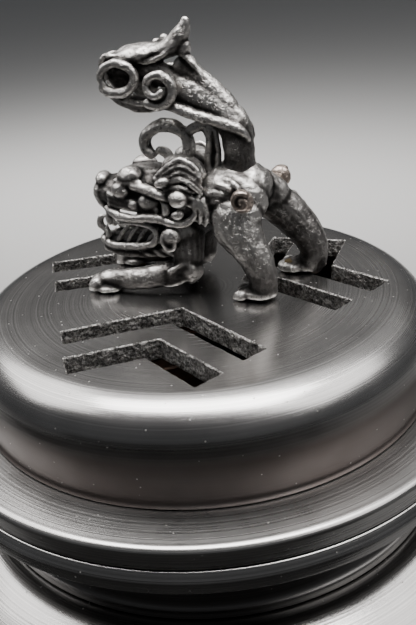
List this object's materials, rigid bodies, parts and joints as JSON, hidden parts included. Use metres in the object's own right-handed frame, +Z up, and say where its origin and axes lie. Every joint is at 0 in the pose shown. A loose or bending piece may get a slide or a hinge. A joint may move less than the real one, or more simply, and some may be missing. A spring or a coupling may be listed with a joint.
{
  "type": "lidded incense burner",
  "caption": "Wide turned bowl on turned feet with a lift-out liner and a domed, chevron-pierced lid that lifts off by a cast guardian lion.",
  "frame": {"origin": "on the surface that it stands on, on the axis of the bowl", "axes": "+Z up along the turning axis; the lion faces -X; one pair of vents opens towards -Y"},
  "size_m": [0.13, 0.13, 0.1573],
  "materials": {
    "turned_pewter": "satin, with fine turning lines",
    "dark_pewter": "darkened satin",
    "blackened_cast": "blackened casting, rubbed bright on its high places",
    "rubbed_copper": "dark casting rubbed to a coppery brown",
    "copper_sheet": "dull spun copper",
    "brass_fixing": "dull turned brass"
  },
  "bodies": {
    "bowl": {"bowl_body": "turned_pewter", "neck_ring": "dark_pewter", "rim_ring": "turned_pewter", "foot_1": "turned_pewter", "foot_2": "turned_pewter", "foot_3": "turned_pewter", "foot_washer_1": "brass_fixing", "foot_washer_2": "brass_fixing", "foot_washer_3": "brass_fixing", "foot_screw_1": "brass_fixing", "foot_screw_2": "brass_fixing", "foot_screw_3": "brass_fixing"},
    "liner": {"liner_cup": "copper_sheet"},
    "lid": {"lid_dome": "turned_pewter", "lid_flange": "turned_pewter", "lid_bezel": "dark_pewter", "washer_near_fore": "brass_fixing", "washer_far_fore": "brass_fixing", "washer_near_hind": "brass_fixing", "washer_far_hind": "brass_fixing", "screw_near_fore": "brass_fixing", "screw_far_fore": "brass_fixing", "screw_near_hind": "brass_fixing", "screw_far_hind": "brass_fixing", "lion_body": "blackened_cast", "lion_head": "blackened_cast", "lion_jaw": "blackened_cast", "lion_tail": "blackened_cast", "mane_lock": "blackened_cast", "hip_boss_near": "rubbed_copper", "hip_boss_far": "rubbed_copper", "neck_pin": "brass_fixing", "jaw_pin": "brass_fixing", "tail_pin": "brass_fixing"}
  },
  "joints": [
    {"name": "lid_lift", "type": "slide", "parent": "bowl", "child": "lid", "axis": [0, 0, 1], "range_m": [0, 0.124]},
    {"name": "liner_lift", "type": "slide", "parent": "bowl", "child": "liner", "axis": [0, 0, 1], "range_m": [0, 0.062]}
  ],
  "couplings": [
    {"joint": "liner_lift", "follows": "lid_lift", "ratio": 0.5}
  ]
}
